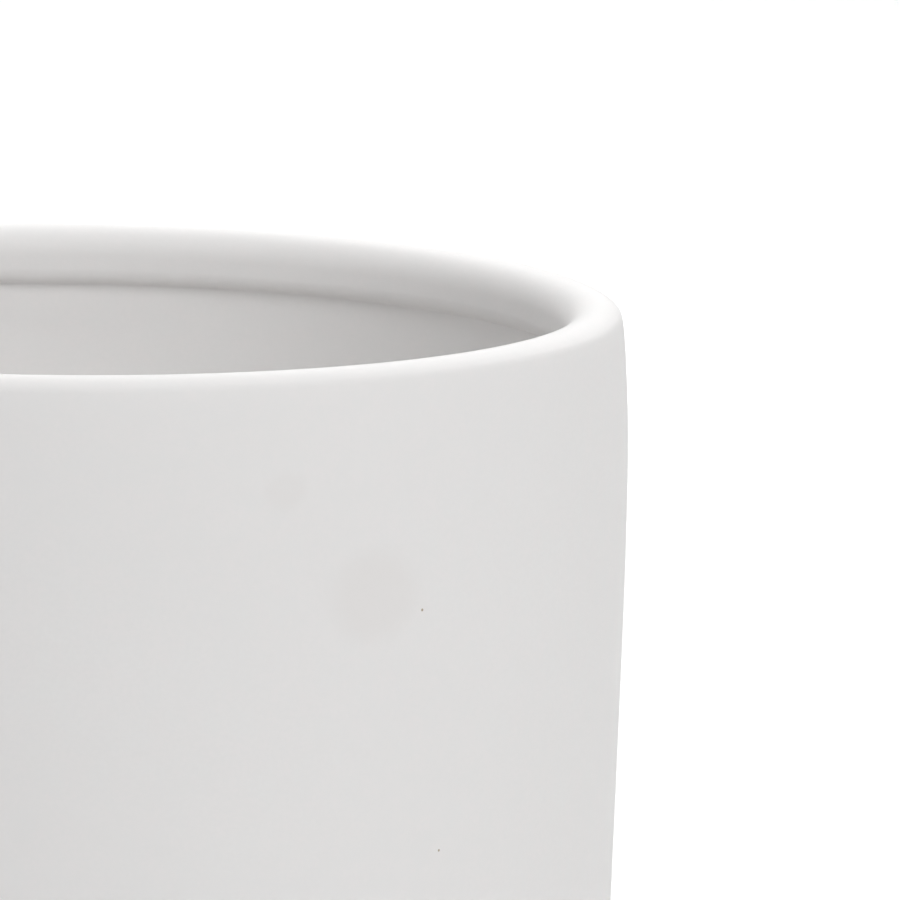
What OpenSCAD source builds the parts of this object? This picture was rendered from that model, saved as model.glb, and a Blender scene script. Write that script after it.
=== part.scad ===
// Round ceramic pen cup with a rounded rim and a thick inward lip.
// It stands on self-adhesive pads inside its foot ring.
// Millimetres. Z is the cup's axis, and z = 0 is the desk.

/* [Cup] */
// Height from the desk to the crest of the rim
cup_height = 100; // [80:1:120]
// Largest outside diameter, a little below the rim
cup_diameter = 85; // [70:1:100]
// Lean of the side wall from vertical, per side, in degrees
wall_draft = 1.4; // [0.6:0.05:2]
// Radius that rounds the side wall over at its widest point
belly_radius = 520; // [250:10:600]

/* [Rim and lip] */
// Radius that draws the outside in above the widest point
shoulder_radius = 119; // [100:1:150]
// Lean of the wall at the top of the shoulder, in degrees
shoulder_lean = 5; // [4:0.5:6]
// Radius that draws the wall in further, just below the rim's outer edge
brow_radius = 8.5; // [6:0.5:12]
// Lean of the wall at the rim's outer edge, in degrees
brow_lean = 13; // [10:1:16]
// Radius of the rim's outer edge
rim_edge_radius = 0.8; // [0.5:0.1:1]
// Slope of the rim's top at its outer edge, in degrees
rim_slope = 40; // [36:1:46]
// Radius that rounds the rim's top over into the mouth
rim_top_radius = 2.4; // [2.1:0.1:2.7]
// Depth of the lip, from the crest of the rim to its underside
lip_depth = 4.6; // [4.2:0.1:6]
// Radius of the lip's lower edge
lip_edge_radius = 1.3; // [1:0.1:1.4]
// Radius of the crease where the lip's underside meets the wall
crease_radius = 0.3; // [0.2:0.1:0.4]

/* [Wall, floor and foot] */
// Thickness of the wall at the floor
wall_foot = 3.2; // [2.8:0.1:4]
// Thickness of the floor
floor_thickness = 4; // [3:0.5:6]
// Radius between the wall and the floor, inside
cove_radius = 7; // [4:0.5:10]
// Radius of the outside bottom edge
base_radius = 3; // [2:0.5:4]
// Width of the flat foot ring
foot_ring_width = 3.2; // [2.5:0.1:5]
// Depth of the recess inside the foot ring
recess_depth = 1.3; // [1:0.1:1.8]
// Radius at the top and the bottom of the recess's side
recess_edge_radius = 0.4; // [0.2:0.1:0.4]

/* [Foot pads] */
// Number of pads
pad_count = 4; // [3:1:6]
// Diameter of a pad
pad_diameter = 10; // [8:0.5:12]
// Thickness of a pad
pad_thickness = 2; // [1.8:0.1:2.5]
// Chamfer of a pad's lower edge
pad_chamfer = 0.3; // [0.2:0.1:0.5]
// Gap between a pad and the side of the recess
pad_gap = 1.8; // [1:0.1:4]
// How far a pad reaches past its adhesive disc all round
adhesive_inset = 0.3; // [0.1:0.1:1]
// Thickness of an adhesive disc
adhesive_thickness = 0.4; // [0.2:0.1:0.5]

/* [Hidden] */
pad_numbers = [1 : pad_count];

// Colours
glaze_white = [0.88, 0.88, 0.87];
pad_grey = [0.32, 0.32, 0.33];
adhesive_clear = [0.86, 0.84, 0.78];

// Facets round the axis, for OpenSCAD's own preview
round_faces = 180;

// Angle between neighbouring points on the arcs, which is finer above this radius
large_arc = 50;
small_arc_step = 10;
large_arc_step = 0.6;

// Outside, the rim is a chain of arcs that touch. Each row is [radius, first slope, last slope],
// where the slope is the surface's angle from level.
rim_arcs = [
    [shoulder_radius, 90, 90 - shoulder_lean],
    [brow_radius, 90 - shoulder_lean, 90 - brow_lean],
    [rim_edge_radius, 90 - brow_lean, rim_slope],
    [rim_top_radius, rim_slope, 0]
];

// How far a chain of arcs goes inwards and upwards
function total(steps) = steps * [for (s = steps) 1];
function inwards(arcs) = total([for (a = arcs) a[0] * (sin(a[1]) - sin(a[2]))]);
function upwards(arcs) = total([for (a = arcs) a[0] * (cos(a[2]) - cos(a[1]))]);

// Heights
recess_z = pad_thickness + adhesive_thickness;
foot_z = recess_z - recess_depth;
floor_z = recess_z + floor_thickness;
belly_z = cup_height - upwards(rim_arcs);
lip_z = cup_height - lip_depth;
crease_z = lip_z - crease_radius;

// Radii of the widest point, the crest and the mouth, and of the wall below the crease
belly_r = cup_diameter / 2;
crest_r = belly_r - inwards(rim_arcs);
mouth_r = crest_r - rim_top_radius;
lip_edge_r = mouth_r + lip_edge_radius;
wall_top_r = lip_edge_r + crease_radius;

// Below its widest point the outside turns through the draft angle, then runs straight
taper_z = belly_z - belly_radius * sin(wall_draft);
taper_r = belly_r - belly_radius * (1 - cos(wall_draft));
function outside_r(z) = taper_r - (taper_z - z) * tan(wall_draft);

// The base's arc touches the outside and the foot ring
base_z = foot_z + base_radius;
base_r = outside_r(base_z) - base_radius / cos(wall_draft);
ring_r = base_r - foot_ring_width;
recess_r = ring_r - recess_edge_radius;

// The inside wall runs straight from the crease to the cove
wall_foot_r = outside_r(floor_z) - wall_foot;
inside_draft = atan((wall_top_r - wall_foot_r) / (crease_z - floor_z));
cove_z = floor_z + cove_radius;
cove_r = wall_foot_r + cove_radius * tan(inside_draft) - cove_radius / cos(inside_draft);

// The pads' centres lie on this circle, and the first is on a diagonal
pad_circle_r = recess_r - pad_gap - pad_diameter / 2;
first_pad_angle = 45;

// Points on an arc about [r, z], from one angle to another in steps no larger than step
function arc(r, z, radius, from, to, step = small_arc_step) =
    let (count = ceil(abs(to - from) / step))
    [for (i = [0 : count])
        let (a = from + (to - from) * i / count)
        [r + radius * cos(a), z + radius * sin(a)]];

// Points on a chain of arcs that starts at [r, z], without that first point
function chain(r, z, arcs, i = 0) =
    i == len(arcs) ? [] :
    let (a = arcs[i], centre_r = r - a[0] * sin(a[1]), centre_z = z - a[0] * cos(a[1]))
    let (step = a[0] > large_arc ? large_arc_step : small_arc_step)
    let (points = arc(centre_r, centre_z, a[0], 90 - a[1], 90 - a[2], step))
    let (last = points[len(points) - 1])
    concat([for (k = [1 : len(points) - 1]) points[k]], chain(last[0], last[1], arcs, i + 1));

// Half of the cup's section, anticlockwise from the foot ring
outside_points = concat(
    arc(base_r, base_z, base_radius, -90, -wall_draft),
    arc(belly_r - belly_radius, belly_z, belly_radius, -wall_draft, 0, large_arc_step),
    chain(belly_r, belly_z, rim_arcs)
);
lip_points = concat(
    arc(crest_r, cup_height - rim_top_radius, rim_top_radius, 90 + small_arc_step, 180),
    arc(lip_edge_r, lip_z + lip_edge_radius, lip_edge_radius, 180, 270),
    arc(lip_edge_r, crease_z, crease_radius, 90 - small_arc_step, 0)
);
floor_points = concat(
    arc(cove_r, cove_z, cove_radius, -inside_draft, -90),
    [[0, floor_z], [0, recess_z]],
    arc(recess_r - recess_edge_radius, recess_z - recess_edge_radius, recess_edge_radius, 90, 0),
    arc(ring_r, foot_z + recess_edge_radius, recess_edge_radius, 180, 270)
);

module at_pad(n) {
    rotate(first_pad_angle + 360 * (n - 1) / pad_count)
        translate([pad_circle_r, 0, 0])
            children();
}

module cup_body() {
    color(glaze_white)
        rotate_extrude($fn = round_faces)
            polygon(concat(outside_points, lip_points, floor_points));
}

module foot_pad() {
    pad_r = pad_diameter / 2;
    color(pad_grey)
        rotate_extrude($fn = round_faces)
            polygon([
                [0, 0],
                [pad_r - pad_chamfer, 0],
                [pad_r, pad_chamfer],
                [pad_r, pad_thickness],
                [0, pad_thickness]
            ]);
}

module pad_adhesive() {
    color(adhesive_clear)
        translate([0, 0, pad_thickness])
            cylinder(d = pad_diameter - 2 * adhesive_inset, h = adhesive_thickness, $fn = round_faces);
}

cup_body();
for (n = pad_numbers) {
    at_pad(n) foot_pad();
    at_pad(n) pad_adhesive();
}
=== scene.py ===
"""The white ceramic pen cup: its glazed body, its foot pads and their adhesive, in a plain studio.

Lengths are in metres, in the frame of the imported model: Z is the cup's axis and the desk is z = 0.
The camera looks along +Y, at the upper right part of the cup.
"""
import math

import bpy
from mathutils import Matrix, Vector


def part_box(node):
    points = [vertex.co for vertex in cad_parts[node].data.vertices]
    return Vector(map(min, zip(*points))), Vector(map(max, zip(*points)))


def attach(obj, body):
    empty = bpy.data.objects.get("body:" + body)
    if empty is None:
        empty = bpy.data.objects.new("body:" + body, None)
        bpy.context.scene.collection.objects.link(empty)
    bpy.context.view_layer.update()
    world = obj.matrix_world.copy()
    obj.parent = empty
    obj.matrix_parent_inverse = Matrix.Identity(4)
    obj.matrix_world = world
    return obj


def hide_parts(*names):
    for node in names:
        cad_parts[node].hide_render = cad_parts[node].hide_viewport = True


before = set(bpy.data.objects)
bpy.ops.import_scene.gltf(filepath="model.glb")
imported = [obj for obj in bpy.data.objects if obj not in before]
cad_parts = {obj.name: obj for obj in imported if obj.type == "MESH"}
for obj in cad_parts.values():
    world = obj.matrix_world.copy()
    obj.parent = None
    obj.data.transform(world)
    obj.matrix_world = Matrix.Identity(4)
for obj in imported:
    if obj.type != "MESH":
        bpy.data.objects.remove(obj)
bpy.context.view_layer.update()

MM = 0.001
PAD_COUNT = sum(1 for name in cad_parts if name.startswith("foot_pad_"))

# ---------------------------------------------------------------- sizes from the frame

body_low, body_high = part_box("cup_body")
FOOT_Z = body_low.z
CREST_Z = body_high.z
BELLY_R = body_high.x

# The adhesive discs are stuck to the top of the recess
RECESS_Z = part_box("pad_adhesive_1")[1].z

# ---------------------------------------------------------------- the cup's section

# These repeat the CAD model's driving dimensions. A row of arcs is (radius, first slope, last slope),
# where the slope is the surface's angle from level, in degrees.
WALL_DRAFT = math.radians(1.4)
BELLY_RADIUS = 520 * MM
RIM_TOP_RADIUS = 2.4 * MM
RIM_ARCS = [(119 * MM, 90, 85), (8.5 * MM, 85, 77), (0.8 * MM, 77, 40), (RIM_TOP_RADIUS, 40, 0)]
LIP_DEPTH = 4.6 * MM
LIP_EDGE_RADIUS = 1.3 * MM
CREASE_RADIUS = 0.3 * MM
WALL_FOOT = 3.2 * MM
FLOOR_THICKNESS = 4 * MM
COVE_RADIUS = 7 * MM
BASE_RADIUS = 3 * MM
FOOT_RING_WIDTH = 3.2 * MM
RECESS_EDGE_RADIUS = 0.4 * MM

# How finely the section is divided. Arcs with a radius above LARGE_ARC take the smaller step.
LARGE_ARC = 50 * MM
SMALL_ARC_STEP = math.radians(5)
LARGE_ARC_STEP = math.radians(0.4)
STRAIGHT_STEP = 1.5 * MM
CUP_SEGMENTS = 256


def arc(r, z, radius, start, end, step=SMALL_ARC_STEP):
    """Points (r, z) on an arc about r, z, from one angle to another."""
    count = max(1, math.ceil(abs(end - start) / step))
    angles = [start + (end - start) * i / count for i in range(count + 1)]
    return [(r + radius * math.cos(a), z + radius * math.sin(a)) for a in angles]


def chain(start, arcs):
    """Points on arcs that follow and touch each other, from the point where the first one starts."""
    points = [start]
    for radius, *slopes in arcs:
        first, last = (math.radians(90 - slope) for slope in slopes)
        r, z = points[-1]
        centre = (r - radius * math.cos(first), z - radius * math.sin(first))
        step = LARGE_ARC_STEP if radius > LARGE_ARC else SMALL_ARC_STEP
        points += arc(*centre, radius, first, last, step)[1:]
    return points


def straight(start, end):
    """Points between two points of the section, without the two points themselves."""
    count = max(1, round(math.dist(start, end) / STRAIGHT_STEP))
    fractions = [i / count for i in range(1, count)]
    return [tuple(a + (b - a) * f for a, b in zip(start, end)) for f in fractions]


def joined(*runs):
    """One outline from several runs of points, with the gaps between them filled by straight runs."""
    outline = list(runs[0])
    for run in runs[1:]:
        outline += straight(outline[-1], run[0])
        outline += run
    return outline


# The rim's outer arcs run up from the widest point to the crest
rim_points = chain((BELLY_R, 0), RIM_ARCS)
BELLY_Z = CREST_Z - rim_points[-1][1]
CREST_R = rim_points[-1][0]
FLOOR_Z = RECESS_Z + FLOOR_THICKNESS
LIP_Z = CREST_Z - LIP_DEPTH
CREASE_Z = LIP_Z - CREASE_RADIUS

# Below its widest point the outside turns through the draft angle, then runs straight
TAPER_DROP = BELLY_RADIUS * math.sin(WALL_DRAFT)
TAPER_R = BELLY_R - BELLY_RADIUS * (1 - math.cos(WALL_DRAFT))


def outside_r(z):
    """The outside's radius at a height, from the base's edge to a little above the widest point."""
    drop = BELLY_Z - z
    if drop < TAPER_DROP:
        return BELLY_R - BELLY_RADIUS + math.sqrt(BELLY_RADIUS ** 2 - drop ** 2)
    return TAPER_R - (drop - TAPER_DROP) * math.tan(WALL_DRAFT)


def on_outside(turn, below_crest):
    """A point on the outside, at an angle in degrees about the axis."""
    z = CREST_Z - below_crest
    angle = math.radians(turn)
    return (outside_r(z) * math.cos(angle), outside_r(z) * math.sin(angle), z)


def cup_section():
    """Half of the cup's section, from the middle of the recess round to the middle of the floor."""
    quarter = math.pi / 2
    half = math.pi
    lip_edge_r = CREST_R - RIM_TOP_RADIUS + LIP_EDGE_RADIUS

    base_z = FOOT_Z + BASE_RADIUS
    base_r = outside_r(base_z) - BASE_RADIUS / math.cos(WALL_DRAFT)
    ring_r = base_r - FOOT_RING_WIDTH
    edge = RECESS_EDGE_RADIUS
    recess_r = ring_r - edge

    wall_foot_r = outside_r(FLOOR_Z) - WALL_FOOT
    wall_top_r = lip_edge_r + CREASE_RADIUS
    draft = math.atan((wall_top_r - wall_foot_r) / (CREASE_Z - FLOOR_Z))
    cove_z = FLOOR_Z + COVE_RADIUS
    cove_r = wall_foot_r + COVE_RADIUS * math.tan(draft) - COVE_RADIUS / math.cos(draft)

    return joined(
        [(0, RECESS_Z)],
        arc(recess_r - edge, RECESS_Z - edge, edge, quarter, 0),
        arc(ring_r, FOOT_Z + edge, edge, half, half + quarter),
        arc(base_r, base_z, BASE_RADIUS, -quarter, -WALL_DRAFT),
        arc(BELLY_R - BELLY_RADIUS, BELLY_Z, BELLY_RADIUS, -WALL_DRAFT, 0, LARGE_ARC_STEP),
        chain((BELLY_R, BELLY_Z), RIM_ARCS)[1:],
        arc(CREST_R, CREST_Z - RIM_TOP_RADIUS, RIM_TOP_RADIUS, quarter, half)[1:],
        arc(lip_edge_r, LIP_Z + LIP_EDGE_RADIUS, LIP_EDGE_RADIUS, half, half + quarter),
        arc(lip_edge_r, CREASE_Z, CREASE_RADIUS, quarter, 0)[1:],
        arc(cove_r, cove_z, COVE_RADIUS, -draft, -quarter),
        [(0, FLOOR_Z)],
    )


# ---------------------------------------------------------------- mesh helpers


def lathe(name, outline, segments, centre=(0, 0)):
    """A closed solid of revolution. The outline starts and ends on its axis, which stands at centre."""
    rings = outline[1:-1]
    turns = [2 * math.pi * i / segments for i in range(segments)]
    verts = [(centre[0], centre[1], outline[0][1]), (centre[0], centre[1], outline[-1][1])]
    for r, z in rings:
        verts += [(centre[0] + r * math.cos(a), centre[1] + r * math.sin(a), z) for a in turns]

    def vert(ring, turn):
        return 2 + ring * segments + turn % segments

    faces = [(0, vert(0, i + 1), vert(0, i)) for i in range(segments)]
    for ring in range(len(rings) - 1):
        for i in range(segments):
            faces.append((vert(ring, i), vert(ring, i + 1), vert(ring + 1, i + 1), vert(ring + 1, i)))
    last = len(rings) - 1
    faces += [(1, vert(last, i), vert(last, i + 1)) for i in range(segments)]

    mesh = bpy.data.meshes.new(name)
    mesh.from_pydata(verts, [], faces)
    mesh.polygons.foreach_set("use_smooth", [True] * len(mesh.polygons))
    mesh.update()
    piece = bpy.data.objects.new(name, mesh)
    bpy.context.scene.collection.objects.link(piece)
    return piece


# ---------------------------------------------------------------- node helpers


class Shader:
    """Adds nodes to a new material and links them."""

    def __init__(self, name):
        self.material = bpy.data.materials.new(name)
        self.material.use_nodes = True
        self.tree = self.material.node_tree
        self.surface = self.tree.nodes["Principled BSDF"]
        self.position = self.node("ShaderNodeTexCoord").outputs["Object"]

    def node(self, kind, **settings):
        made = self.tree.nodes.new(kind)
        for key, value in settings.items():
            setattr(made, key, value)
        return made

    def put(self, socket, value):
        """Sets a socket to a number, a colour or a vector, or links another node's output to it."""
        if isinstance(value, bpy.types.NodeSocket):
            self.tree.links.new(value, socket)
        else:
            socket.default_value = value

    def math(self, operation, a, b=0.0):
        made = self.node("ShaderNodeMath", operation=operation)
        self.put(made.inputs[0], a)
        self.put(made.inputs[1], b)
        return made.outputs[0]

    def ramp(self, value, low, high, to_low=0.0, to_high=1.0):
        """value taken smoothly from low..high to to_low..to_high, and held there beyond."""
        made = self.node("ShaderNodeMapRange", interpolation_type="SMOOTHSTEP")
        for socket, number in zip(made.inputs[:5], (value, low, high, to_low, to_high)):
            self.put(socket, number)
        return made.outputs[0]

    def noise(self, size, detail=2.0):
        """Noise from 0 to 1 whose blotches are about size across."""
        made = self.node("ShaderNodeTexNoise")
        self.put(made.inputs["Vector"], self.position)
        made.inputs["Scale"].default_value = 1 / size
        made.inputs["Detail"].default_value = detail
        return made.outputs["Fac"]

    def mix(self, amount, a, b):
        made = self.node("ShaderNodeMix", data_type="RGBA")
        self.put(made.inputs["Factor"], amount)
        self.put(made.inputs["A"], a)
        self.put(made.inputs["B"], b)
        return made.outputs["Result"]

    def distance(self, point, flatten=1.0):
        """How far the surface is from a point, with heights counted flatten times over."""
        scaled = self.node("ShaderNodeVectorMath", operation="MULTIPLY")
        self.put(scaled.inputs[0], self.position)
        scaled.inputs[1].default_value = (1, 1, flatten)
        made = self.node("ShaderNodeVectorMath", operation="DISTANCE")
        self.put(made.inputs[0], scaled.outputs["Vector"])
        made.inputs[1].default_value = (point[0], point[1], point[2] * flatten)
        return made.outputs["Value"]

    def height(self):
        made = self.node("ShaderNodeSeparateXYZ")
        self.put(made.inputs[0], self.position)
        return made.outputs["Z"]

    def bump(self, height, depth, normal=None):
        """A bump map of a 0 to 1 height, depth deep, on top of another one."""
        made = self.node("ShaderNodeBump")
        made.inputs["Distance"].default_value = depth
        self.put(made.inputs["Height"], height)
        if normal is not None:
            self.put(made.inputs["Normal"], normal)
        return made.outputs["Normal"]

    def finish(self, **inputs):
        for name, value in inputs.items():
            self.put(self.surface.inputs[name.replace("_", " ")], value)
        return self.material


def rgb(r, g, b):
    return (r, g, b, 1.0)


# ---------------------------------------------------------------- materials

GLAZE = rgb(0.884, 0.877, 0.871)
GLAZE_SHADE = rgb(0.868, 0.86, 0.854)
GLAZE_PINK = rgb(0.89, 0.869, 0.863)
# A slightly greyer tone, painted into a few small spots on the outside
GREY_SPOT_TONE = rgb(0.85, 0.832, 0.822)
FLECK = rgb(0.36, 0.27, 0.16)
BISQUE = rgb(0.66, 0.62, 0.56)

# Sizes of the glaze's slow clouding, its mottling, its shallow dimples and its fine grain
CLOUD_SIZE = 30 * MM
MOTTLE_SIZE = 1.8 * MM
DIMPLE_SIZE = 1.6 * MM
DIMPLE_DEPTH = 0.012 * MM
GRAIN_SIZE = 0.35 * MM
GRAIN_DEPTH = 0.004 * MM

# The glaze ends on an uneven line a little above the foot ring
GLAZE_END_LOW = FOOT_Z + 0.75 * MM
GLAZE_END_HIGH = FOOT_Z + 0.9 * MM
GLAZE_END_WANDER = 0.5 * MM
GLAZE_END_WAVE = 4 * MM

# Faint greyer spots on the glaze, a little wider than tall:
# (angle about the axis in degrees, depth below the crest, half width, strength)
GREY_SPOTS = [(-57.8, 16 * MM, 3.5 * MM, 0.9), (-67.6, 8.2 * MM, 1.5 * MM, 0.6)]
MARK_FLATTEN = 1.17
MARK_WOBBLE = 1.2 * MM
MARK_WOBBLE_SIZE = 2.5 * MM
# Pin-head iron flecks: (angle about the axis in degrees, depth below the crest, radius)
FLECKS = [(-52.2, 17.4 * MM, 0.13 * MM), (-49.1, 35 * MM, 0.12 * MM)]


def marked(shader, colour):
    """The glaze's colour with its faint greyer spots and flecks."""
    centred = shader.math("SUBTRACT", shader.noise(MARK_WOBBLE_SIZE), 0.5)
    wobble = shader.math("MULTIPLY", centred, MARK_WOBBLE)
    for turn, below_crest, half_width, strength in GREY_SPOTS:
        away = shader.distance(on_outside(turn, below_crest), MARK_FLATTEN)
        away = shader.math("ADD", away, wobble)
        inside = shader.ramp(away, 0.6 * half_width, 1.4 * half_width, strength, 0.0)
        colour = shader.mix(inside, colour, GREY_SPOT_TONE)
    for turn, below_crest, radius in FLECKS:
        away = shader.distance(on_outside(turn, below_crest))
        inside = shader.ramp(away, 0.5 * radius, radius, 0.8, 0.0)
        colour = shader.mix(inside, colour, FLECK)
    return colour


def glaze_material():
    shader = Shader("satin_white_glaze")
    cloud = shader.noise(CLOUD_SIZE)
    mottle = shader.noise(MOTTLE_SIZE)
    grain = shader.noise(GRAIN_SIZE, 3.0)
    colour = shader.mix(shader.ramp(cloud, 0.3, 0.7), GLAZE, GLAZE_SHADE)
    colour = shader.mix(shader.ramp(mottle, 0.35, 0.65, 0.0, 0.6), colour, GLAZE_PINK)
    colour = shader.mix(shader.ramp(grain, 0.3, 0.7, 0.0, 0.7), colour, GLAZE_SHADE)
    colour = marked(shader, colour)
    wander = shader.math("MULTIPLY", shader.noise(GLAZE_END_WAVE), GLAZE_END_WANDER)
    edge = shader.math("ADD", shader.height(), wander)
    bare = shader.ramp(edge, GLAZE_END_LOW, GLAZE_END_HIGH, 1.0, 0.0)
    colour = shader.mix(bare, colour, BISQUE)
    roughness = shader.ramp(grain, 0.2, 0.8, 0.55, 0.62)
    normal = shader.bump(shader.noise(DIMPLE_SIZE), DIMPLE_DEPTH)
    normal = shader.bump(grain, GRAIN_DEPTH, normal)
    return shader.finish(Base_Color=colour, Roughness=roughness, Specular_IOR_Level=0.1, Normal=normal)


# The pads' foam and its cells
FOAM_DARK = rgb(0.055, 0.055, 0.058)
FOAM_PALE = rgb(0.085, 0.085, 0.088)
CELL_SIZE = 0.5 * MM
CELL_DEPTH = 0.05 * MM

# The adhesive's film and its streaks
FILM_DARK = rgb(0.72, 0.68, 0.58)
FILM_PALE = rgb(0.80, 0.77, 0.68)
STREAK_SIZE = 1.2 * MM
STREAK_DEPTH = 0.03 * MM


def pad_material():
    shader = Shader("pad_foam_rubber")
    cells = shader.noise(CELL_SIZE, 3.0)
    colour = shader.mix(shader.ramp(cells, 0.35, 0.65), FOAM_DARK, FOAM_PALE)
    normal = shader.bump(cells, CELL_DEPTH)
    return shader.finish(Base_Color=colour, Roughness=0.85, Normal=normal)


def glue_material():
    shader = Shader("adhesive_film")
    streaks = shader.noise(STREAK_SIZE)
    colour = shader.mix(streaks, FILM_DARK, FILM_PALE)
    normal = shader.bump(streaks, STREAK_DEPTH)
    return shader.finish(Base_Color=colour, Roughness=0.35, Normal=normal)


# ---------------------------------------------------------------- the object's pieces


def make_cup():
    cup = lathe("glazed_cup", cup_section(), CUP_SEGMENTS)
    cup.data.materials.append(glaze_material())
    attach(cup, "root")
    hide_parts("cup_body")


# Roundness of the pads' and the discs' edges, and how finely they are divided
PAD_EDGE = 0.35 * MM
GLUE_EDGE = 0.1 * MM
EDGE_STEP = math.radians(15)
PAD_SEGMENTS = 96


def rounded_disc(name, low, high, edge):
    """A disc that fills a CAD node's box, with rounded edges."""
    centre = (low + high) / 2
    radius = (high.x - low.x) / 2
    outline = joined(
        [(0, low.z)],
        arc(radius - edge, low.z + edge, edge, -math.pi / 2, 0, EDGE_STEP),
        arc(radius - edge, high.z - edge, edge, 0, math.pi / 2, EDGE_STEP),
        [(0, high.z)],
    )
    return lathe(name, outline, PAD_SEGMENTS, (centre.x, centre.y))


def make_pads():
    parts = (
        ("foot_pad", "pad_rubber", pad_material(), PAD_EDGE),
        ("pad_adhesive", "pad_glue", glue_material(), GLUE_EDGE),
    )
    for number in range(1, PAD_COUNT + 1):
        for kind, slot, material, edge in parts:
            node = f"{kind}_{number}"
            disc = rounded_disc(f"{kind}_disc_{number}", *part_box(node), edge)
            disc.data.materials.append(material)
            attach(disc, "root")
            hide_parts(node)


# ---------------------------------------------------------------- studio

# The camera stands on a line that rises from the cup's axis at its widest point, and is then turned
VIEW_DISTANCE = 15 * BELLY_R
VIEW_ELEVATION = math.radians(9.18)
VIEW_PAN = math.radians(-2.671)
VIEW_TILT = math.radians(-9.065)
VIEW_ROLL = math.radians(-0.982)
VIEW_LENS = 344.5


def make_camera():
    camera = bpy.data.cameras.new("camera")
    camera.lens = VIEW_LENS
    holder = bpy.data.objects.new("camera", camera)
    bpy.context.scene.collection.objects.link(holder)
    turn = Matrix.Rotation(VIEW_PAN, 4, "Z") @ Matrix.Rotation(VIEW_TILT, 4, "X")
    turn = turn @ Matrix.Rotation(VIEW_ROLL, 4, "Y") @ Matrix.Rotation(math.pi / 2, 4, "X")
    place = Vector((0, -math.cos(VIEW_ELEVATION), math.sin(VIEW_ELEVATION))) * VIEW_DISTANCE
    holder.matrix_world = Matrix.Translation(place + Vector((0, 0, BELLY_Z))) @ turn
    bpy.context.scene.camera = holder


FLOOR_SIZE = 12.0
FLOOR_BLOTCH = 0.4
FLOOR_WHITE = rgb(0.75, 0.75, 0.75)
FLOOR_PALE = rgb(0.76, 0.76, 0.76)


def make_floor():
    half = FLOOR_SIZE / 2
    corners = [(-half, -half, 0), (half, -half, 0), (half, half, 0), (-half, half, 0)]
    mesh = bpy.data.meshes.new("studio_floor")
    mesh.from_pydata(corners, [], [(0, 1, 2, 3)])
    floor = bpy.data.objects.new("studio_floor", mesh)
    bpy.context.scene.collection.objects.link(floor)
    shader = Shader("floor_white")
    colour = shader.mix(shader.noise(FLOOR_BLOTCH), FLOOR_WHITE, FLOOR_PALE)
    mesh.materials.append(shader.finish(Base_Color=colour, Roughness=0.9))


LIGHT_DISTANCE = 1.6
SOFTBOX_SIZE = 1.0

# Softboxes round the cup: (name, angle round from the camera, angle above level, power)
CUP_SOFTBOXES = [
    ("top_softbox", 0, 90, 6.8),
    ("front_softbox", 0, 35, 3.2),
    ("key_softbox", 30, 30, 8.8),
    ("high_side_softbox", 90, 45, 1.5),
    ("low_side_softbox", 90, 15, 1.9),
]

# Softboxes that look straight down at the floor behind the cup: (name, place, size, power, spread)
FLOOR_SOFTBOXES = [
    ("far_floor_softbox", (0, 1.0, 0.6), 1.0, 5.5, 180),
    ("near_floor_softbox", (0.15, 0.55, 0.5), 0.7, 3.3, 180),
    ("floor_spot", (0.15, 0.5, 0.5), 0.7, 1.4, 40),
]

# Soft light from the left and from above: (direction, strength)
WORLD_LOBES = [((-1, 0, 0), 0.52), ((0, 0, 1), 0.08)]


def make_softbox(name, place, target, size, power, spread=180):
    """A square area light that faces a target. Its spread is in degrees."""
    light = bpy.data.lights.new(name, "AREA")
    light.shape = "RECTANGLE"
    light.size = size
    light.size_y = size
    light.energy = power
    light.spread = math.radians(spread)
    holder = bpy.data.objects.new(name, light)
    bpy.context.scene.collection.objects.link(holder)
    holder.location = place
    holder.rotation_mode = "QUATERNION"
    holder.rotation_quaternion = (Vector(target) - Vector(place)).to_track_quat("-Z", "Y")


def around_cup(side, up):
    """A place at an angle round from the camera towards +X, at an angle above level, in degrees."""
    turn = math.radians(side)
    rise = math.radians(up)
    level = LIGHT_DISTANCE * math.cos(rise)
    return (level * math.sin(turn), -level * math.cos(turn), LIGHT_DISTANCE * math.sin(rise))


def make_world(lobes):
    """Soft light from all round. Each lobe is (direction, strength) and fades to nothing at its side."""
    world = bpy.data.worlds.new("studio")
    world.use_nodes = True
    bpy.context.scene.world = world
    tree = world.node_tree
    direction = tree.nodes.new("ShaderNodeTexCoord").outputs["Generated"]
    total = None
    for axis, strength in lobes:
        facing = tree.nodes.new("ShaderNodeVectorMath")
        facing.operation = "DOT_PRODUCT"
        facing.inputs[1].default_value = Vector(axis).normalized()
        tree.links.new(direction, facing.inputs[0])
        lit_side = tree.nodes.new("ShaderNodeMath")
        lit_side.operation = "MAXIMUM"
        lit_side.inputs[1].default_value = 0.0
        tree.links.new(facing.outputs["Value"], lit_side.inputs[0])
        lobe = tree.nodes.new("ShaderNodeMath")
        lobe.operation = "MULTIPLY"
        lobe.inputs[1].default_value = strength
        tree.links.new(lit_side.outputs[0], lobe.inputs[0])
        if total is None:
            total = lobe.outputs[0]
        else:
            add = tree.nodes.new("ShaderNodeMath")
            tree.links.new(total, add.inputs[0])
            tree.links.new(lobe.outputs[0], add.inputs[1])
            total = add.outputs[0]
    background = tree.nodes["Background"]
    background.inputs["Color"].default_value = rgb(1.0, 1.0, 1.0)
    tree.links.new(total, background.inputs["Strength"])


def make_lights():
    make_world(WORLD_LOBES)
    aim = (0, 0, 0.8 * CREST_Z)
    for name, side, up, power in CUP_SOFTBOXES:
        make_softbox(name, around_cup(side, up), aim, SOFTBOX_SIZE, power)
    for name, place, size, power, spread in FLOOR_SOFTBOXES:
        make_softbox(name, place, (place[0], place[1], 0), size, power, spread)


bpy.context.scene.view_settings.view_transform = "Standard"
make_camera()
make_floor()
make_lights()
make_cup()
make_pads()
